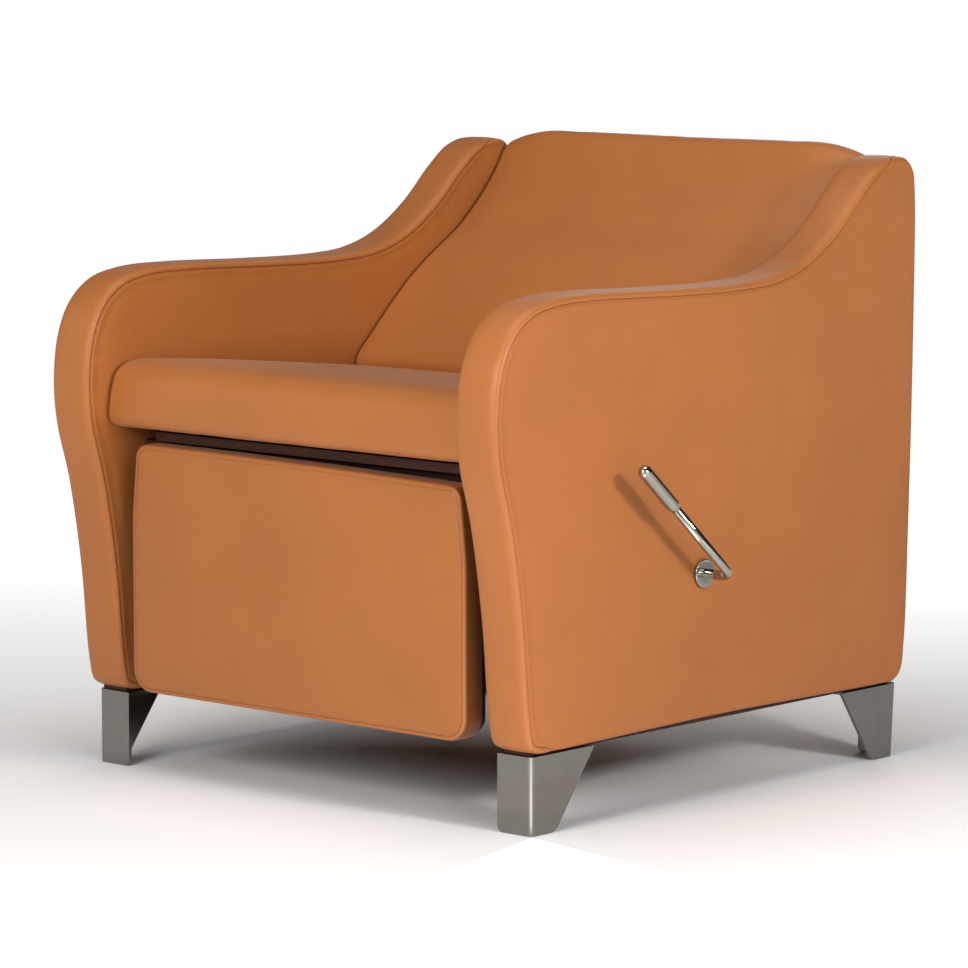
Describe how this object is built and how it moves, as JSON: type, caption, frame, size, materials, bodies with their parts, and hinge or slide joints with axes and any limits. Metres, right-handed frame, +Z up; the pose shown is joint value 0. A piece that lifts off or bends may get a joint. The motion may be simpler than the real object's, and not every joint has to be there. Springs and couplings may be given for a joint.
{
  "type": "patient recliner chair",
  "caption": "Low upholstered patient recliner with curved boxed arms, a sloping back that reclines, a swing-out legrest worked by a side lever, and bent steel feet.",
  "frame": {"origin": "on the floor, under the middle of the chair's bounding box, lever included", "axes": "+Z up, -Y the way the sitter faces, +X the sitter's left, where the lever is"},
  "size_m": [0.8138, 0.8305, 0.7961],
  "materials": {
    "tan_vinyl": "satin",
    "polished_steel": "polished",
    "black_steel": "satin",
    "zinc_plate": "satin",
    "birch_plywood": "matte",
    "beech": "matte",
    "brown_board": "matte",
    "black_nylon": "matte"
  },
  "bodies": {
    "base": {"arm_cover_left": "tan_vinyl", "arm_cover_right": "tan_vinyl", "arm_frame_left": "birch_plywood", "arm_frame_right": "birch_plywood", "foot_front_left": "polished_steel", "foot_front_right": "polished_steel", "foot_rear_left": "polished_steel", "foot_rear_right": "polished_steel", "foot_screw_front_left_1": "zinc_plate", "foot_screw_front_left_2": "zinc_plate", "foot_screw_front_right_1": "zinc_plate", "foot_screw_front_right_2": "zinc_plate", "foot_screw_rear_left_1": "zinc_plate", "foot_screw_rear_left_2": "zinc_plate", "foot_screw_rear_right_1": "zinc_plate", "foot_screw_rear_right_2": "zinc_plate", "front_cross_rail": "beech", "guide_pin_left": "zinc_plate", "guide_pin_right": "zinc_plate", "lever_bush": "black_nylon", "lever_escutcheon": "polished_steel", "lower_back_panel": "tan_vinyl", "lower_cross_rail": "beech", "mechanism_plate_left": "black_steel", "mechanism_plate_right": "black_steel", "rail_bolt_front_left": "zinc_plate", "rail_bolt_front_right": "zinc_plate", "rail_bolt_rear_left": "zinc_plate", "rail_bolt_rear_right": "zinc_plate", "rear_cross_rail": "beech", "seat_cushion": "tan_vinyl", "seat_deck": "brown_board", "seat_rail_left": "beech", "seat_rail_right": "beech"},
    "lever": {"knee_pin_left": "zinc_plate", "knee_pin_right": "zinc_plate", "lever_grip": "polished_steel", "lever_rod": "polished_steel", "main_link_left": "black_steel", "main_link_right": "black_steel", "torque_tube": "black_steel"},
    "knee_links": {"front_link_left": "black_steel", "front_link_right": "black_steel", "guide_end_pin_left": "zinc_plate", "guide_end_pin_right": "zinc_plate", "panel_pin_left": "zinc_plate", "panel_pin_right": "zinc_plate"},
    "legrest": {"legrest_board": "birch_plywood", "legrest_bracket_left": "black_steel", "legrest_bracket_right": "black_steel", "legrest_pad": "tan_vinyl"},
    "guide_links": {"guide_link_left": "black_steel", "guide_link_right": "black_steel"},
    "back": {"back_board": "birch_plywood", "back_bracket_left": "black_steel", "back_bracket_right": "black_steel", "back_cushion": "tan_vinyl", "back_outer_cover": "tan_vinyl", "back_pin_left": "zinc_plate", "back_pin_right": "zinc_plate"}
  },
  "joints": [
    {"name": "lever_turn", "type": "hinge", "parent": "base", "child": "lever", "pos_m": [0, -0.028, 0.286], "axis": [-1, 0, 0], "range_deg": [0, 43]},
    {"name": "knee_fold", "type": "hinge", "parent": "lever", "child": "knee_links", "pos_m": [0, -0.209, 0.134], "axis": [1, 0, 0], "range_deg": [0, 94.5]},
    {"name": "legrest_turn", "type": "hinge", "parent": "knee_links", "child": "legrest", "pos_m": [0, -0.307, 0.355], "axis": [-1, 0, 0], "range_deg": [0, 135.5]},
    {"name": "guide_turn", "type": "hinge", "parent": "base", "child": "guide_links", "pos_m": [0, -0.1835, 0.2278], "axis": [-1, 0, 0], "range_deg": [0, 70.55]},
    {"name": "back_recline", "type": "hinge", "parent": "base", "child": "back", "pos_m": [0, 0.143, 0.39], "axis": [-1, 0, 0], "range_deg": [0, 28]}
  ],
  "couplings": [
    {"joint": "knee_fold", "follows": "lever_turn", "ratio": 2.1976},
    {"joint": "legrest_turn", "follows": "lever_turn", "ratio": 3.1511},
    {"joint": "guide_turn", "follows": "lever_turn", "ratio": 1.6406}
  ]
}
